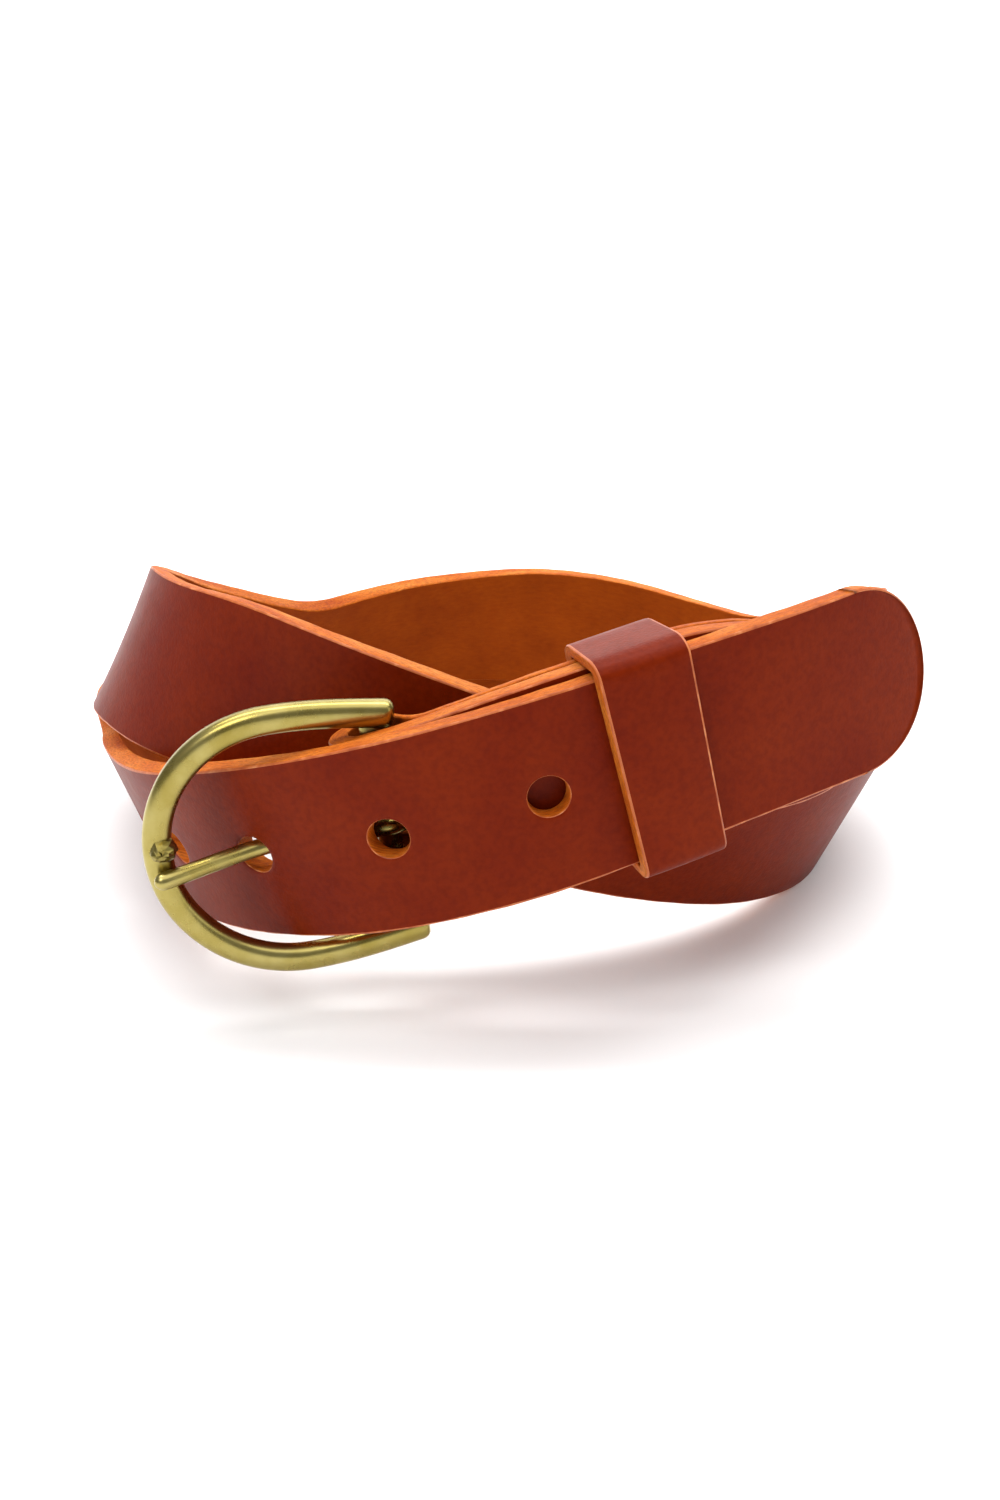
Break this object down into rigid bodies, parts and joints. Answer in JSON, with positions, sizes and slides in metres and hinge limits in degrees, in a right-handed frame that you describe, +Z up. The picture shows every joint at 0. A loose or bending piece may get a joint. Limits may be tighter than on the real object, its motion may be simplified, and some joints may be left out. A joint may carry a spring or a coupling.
{
  "type": "leather belt",
  "caption": "Plain leather belt with a brass heel-bar buckle, buckled and coiled twice round, standing on its edges.",
  "frame": {"origin": "on the surface it stands on, under the middle of the coiled belt", "axes": "+Z up along the coil's axis, -Y towards the buckle, +X towards the free tip"},
  "size_m": [0.1759, 0.1772, 0.0707],
  "materials": {
    "bridle_leather": "waxed grain face, raw flesh side, plain cut edges",
    "buckle_brass": "tumbled satin",
    "staple_steel": "plain wire",
    "stud_brass": "plain turned"
  },
  "bodies": {
    "belt": {"strap": "bridle_leather", "front_post": "stud_brass", "front_screw": "stud_brass", "rear_post": "stud_brass", "rear_screw": "stud_brass"},
    "buckle": {"buckle_frame": "buckle_brass"},
    "tongue": {"prong": "buckle_brass"},
    "loop": {"keeper": "bridle_leather", "keeper_staple": "staple_steel"}
  },
  "joints": [
    {"name": "buckle_swing", "type": "hinge", "parent": "belt", "child": "buckle", "pos_m": [-0.01492, -0.07528, 0.03394], "axis": [-0.1249, -0.0394, 0.9914], "range_deg": [-3, 0]},
    {"name": "prong_swing", "type": "hinge", "parent": "belt", "child": "tongue", "pos_m": [-0.01492, -0.07528, 0.03394], "axis": [-0.1249, -0.0394, 0.9914], "range_deg": [0, 1]},
    {"name": "keeper_slide", "type": "slide", "parent": "belt", "child": "loop", "axis": [0.9279, 0.2848, 0.2408], "range_m": [-0.0025, 0.0025]}
  ]
}
